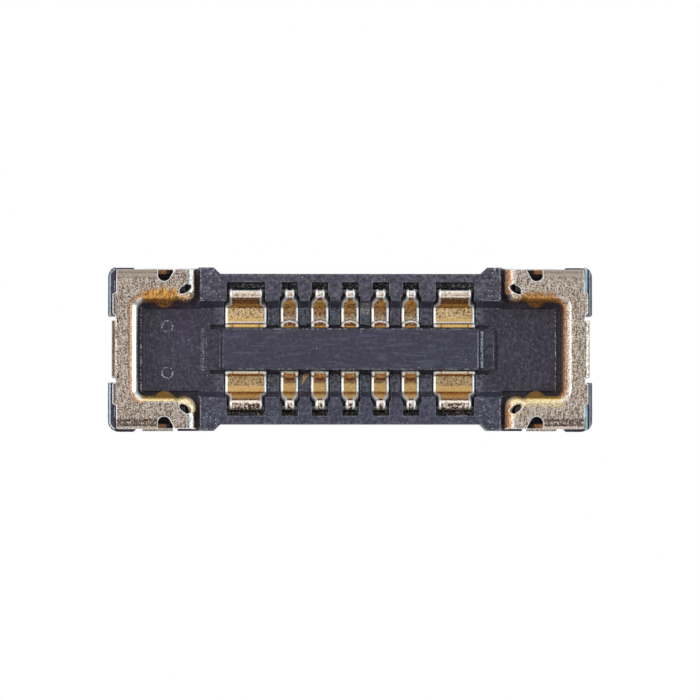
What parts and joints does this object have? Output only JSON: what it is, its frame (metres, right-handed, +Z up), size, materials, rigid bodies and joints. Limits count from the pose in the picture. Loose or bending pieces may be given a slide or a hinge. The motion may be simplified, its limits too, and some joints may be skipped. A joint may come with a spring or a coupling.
{
  "type": "board-to-board receptacle connector for flexible printed circuits",
  "caption": "Low-profile surface-mount receptacle with formed spring contacts in two rows and a folded metal fitting at each end.",
  "frame": {"origin": "on the solder plane, under the middle of the part", "axes": "+X along the contact rows, +Y across them, +Z up out of the mating side"},
  "size_m": [0.0056, 0.002, 0.0006],
  "materials": {
    "housing_plastic": "fine matte moulded surface, dark slate",
    "contact_gold": "gold plated copper alloy with fine grain",
    "fitting_metal": "pale gold-flashed nickel with fine grain"
  },
  "bodies": {
    "root": {"housing": "housing_plastic", "end_fitting_left": "fitting_metal", "end_fitting_right": "fitting_metal", "signal_contact_a1": "contact_gold", "signal_contact_a2": "contact_gold", "signal_contact_a3": "contact_gold", "signal_contact_a4": "contact_gold", "signal_contact_a5": "contact_gold", "signal_contact_b1": "contact_gold", "signal_contact_b2": "contact_gold", "signal_contact_b3": "contact_gold", "signal_contact_b4": "contact_gold", "signal_contact_b5": "contact_gold", "power_contact_a1": "contact_gold", "power_contact_a2": "contact_gold", "power_contact_b1": "contact_gold", "power_contact_b2": "contact_gold"}
  },
  "joints": []
}
